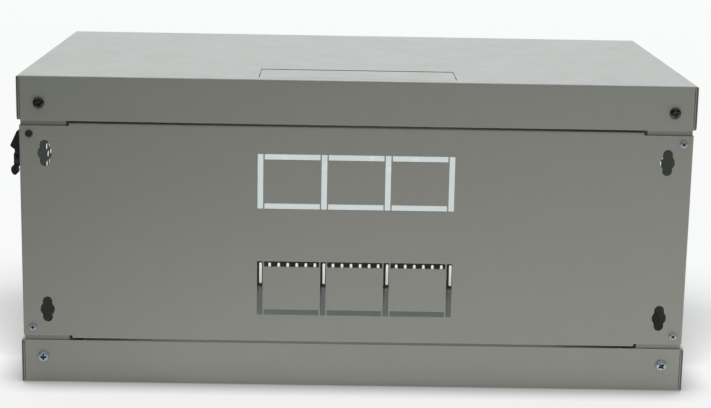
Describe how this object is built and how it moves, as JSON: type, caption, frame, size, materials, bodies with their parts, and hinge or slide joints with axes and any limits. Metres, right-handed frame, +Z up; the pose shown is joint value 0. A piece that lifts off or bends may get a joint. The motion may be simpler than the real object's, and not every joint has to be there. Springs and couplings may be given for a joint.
{
  "type": "network cabinet",
  "caption": "Wall-mount network rack cabinet: tray covers, rear panel with cable knock-outs and keyholes, lift-out side panels, glass door and adjustable 19-inch rails.",
  "frame": {"origin": "middle of the footprint, on the plane of the bottom cover's underside", "axes": "+Z up, the door faces -Y, the wall side faces +Y, X across the width"},
  "size_m": [0.617, 0.3552, 0.28],
  "materials": {
    "powder_coat": "light grey fine-texture powder coat",
    "zinc_sheet": "zinc-plated sheet",
    "zinc_hardware": "bright zinc plating",
    "spring_steel": "oiled spring steel",
    "black_plastic": "moulded, matt",
    "rubber": "black foam tape",
    "glass": "clear toughened glass",
    "chrome": "polished die-cast lock",
    "brass": "plain brass nuts"
  },
  "bodies": {
    "cabinet": {"bottom_cover": "powder_coat", "top_cover": "powder_coat", "rear_panel": "powder_coat", "rear_upright_left": "powder_coat", "rear_upright_right": "powder_coat", "front_upright_left": "powder_coat", "front_upright_right": "powder_coat", "depth_bar_lower_left": "zinc_sheet", "depth_bar_lower_right": "zinc_sheet", "depth_bar_upper_left": "zinc_sheet", "depth_bar_upper_right": "zinc_sheet", "hinge_bracket_upper": "zinc_sheet", "hinge_bracket_lower": "zinc_sheet", "cover_screws_rear": "zinc_hardware", "cover_screws_front": "zinc_hardware", "rear_panel_screws": "zinc_hardware", "bar_bolts": "zinc_hardware", "earth_stud": "zinc_hardware", "earth_nuts": "brass"},
    "door": {"door_frame": "powder_coat", "door_glass": "glass", "door_glass_tape": "rubber", "door_glass_clips": "spring_steel", "hinge_ear_upper": "powder_coat", "hinge_ear_lower": "powder_coat", "hinge_spring_upper": "spring_steel", "hinge_spring_lower": "spring_steel", "door_lock_housing": "chrome", "door_lock_nut": "zinc_hardware"},
    "upper_hinge_pin": {"hinge_pin_upper": "zinc_hardware"},
    "lower_hinge_pin": {"hinge_pin_lower": "zinc_hardware"},
    "lock_plug": {"door_lock_plug": "chrome", "door_lock_cam": "zinc_hardware", "door_lock_cam_screw": "zinc_hardware"},
    "left_side_panel": {"side_panel_left": "powder_coat", "side_latch_bezel_left": "black_plastic"},
    "left_side_latch": {"side_latch_handle_left": "black_plastic", "side_latch_cam_left": "zinc_hardware", "side_latch_screw_left": "zinc_hardware"},
    "left_rack_rail": {"rack_rail_left": "zinc_sheet", "cage_nuts_left": "zinc_hardware", "nut_cages_left": "spring_steel", "rail_bolts_left": "zinc_hardware", "rail_nuts_left": "zinc_hardware"},
    "right_side_panel": {"side_panel_right": "powder_coat", "side_latch_bezel_right": "black_plastic"},
    "right_side_latch": {"side_latch_handle_right": "black_plastic", "side_latch_cam_right": "zinc_hardware", "side_latch_screw_right": "zinc_hardware"},
    "right_rack_rail": {"rack_rail_right": "zinc_sheet", "cage_nuts_right": "zinc_hardware", "nut_cages_right": "spring_steel", "rail_bolts_right": "zinc_hardware", "rail_nuts_right": "zinc_hardware"}
  },
  "joints": [
    {"name": "door_hinge", "type": "hinge", "parent": "cabinet", "child": "door", "pos_m": [0.293, -0.166, 0.14], "axis": [0, 0, 1], "range_deg": [0, 170]},
    {"name": "upper_hinge_pin_slide", "type": "slide", "parent": "door", "child": "upper_hinge_pin", "axis": [0, 0, -1], "range_m": [0, 0.006], "stiffness_N_per_m": 600, "springref_m": -0.008, "deforming": ["hinge_spring_upper"]},
    {"name": "lower_hinge_pin_slide", "type": "slide", "parent": "door", "child": "lower_hinge_pin", "axis": [0, 0, 1], "range_m": [0, 0.006], "stiffness_N_per_m": 600, "springref_m": -0.008, "deforming": ["hinge_spring_lower"]},
    {"name": "door_lock_turn", "type": "hinge", "parent": "door", "child": "lock_plug", "pos_m": [-0.274, -0.166, 0.14], "axis": [0, -1, 0], "range_deg": [0, 90]},
    {"name": "left_side_panel_tilt", "type": "hinge", "parent": "cabinet", "child": "left_side_panel", "pos_m": [0.2982, 0, 0.0404], "axis": [0, 1, 0], "range_deg": [0, 30]},
    {"name": "left_side_latch_turn", "type": "hinge", "parent": "left_side_panel", "child": "left_side_latch", "pos_m": [0.2982, 0.157, 0.2044], "axis": [1, 0, 0], "range_deg": [0, 90]},
    {"name": "right_side_panel_tilt", "type": "hinge", "parent": "cabinet", "child": "right_side_panel", "pos_m": [-0.2982, 0, 0.0404], "axis": [0, -1, 0], "range_deg": [0, 30]},
    {"name": "right_side_latch_turn", "type": "hinge", "parent": "right_side_panel", "child": "right_side_latch", "pos_m": [-0.2982, -0.145, 0.2044], "axis": [-1, 0, 0], "range_deg": [0, 90]},
    {"name": "left_rack_rail_slide", "type": "slide", "parent": "cabinet", "child": "left_rack_rail", "axis": [0, 1, 0], "range_m": [0, 0.1]},
    {"name": "right_rack_rail_slide", "type": "slide", "parent": "cabinet", "child": "right_rack_rail", "axis": [0, 1, 0], "range_m": [0, 0.1]}
  ]
}
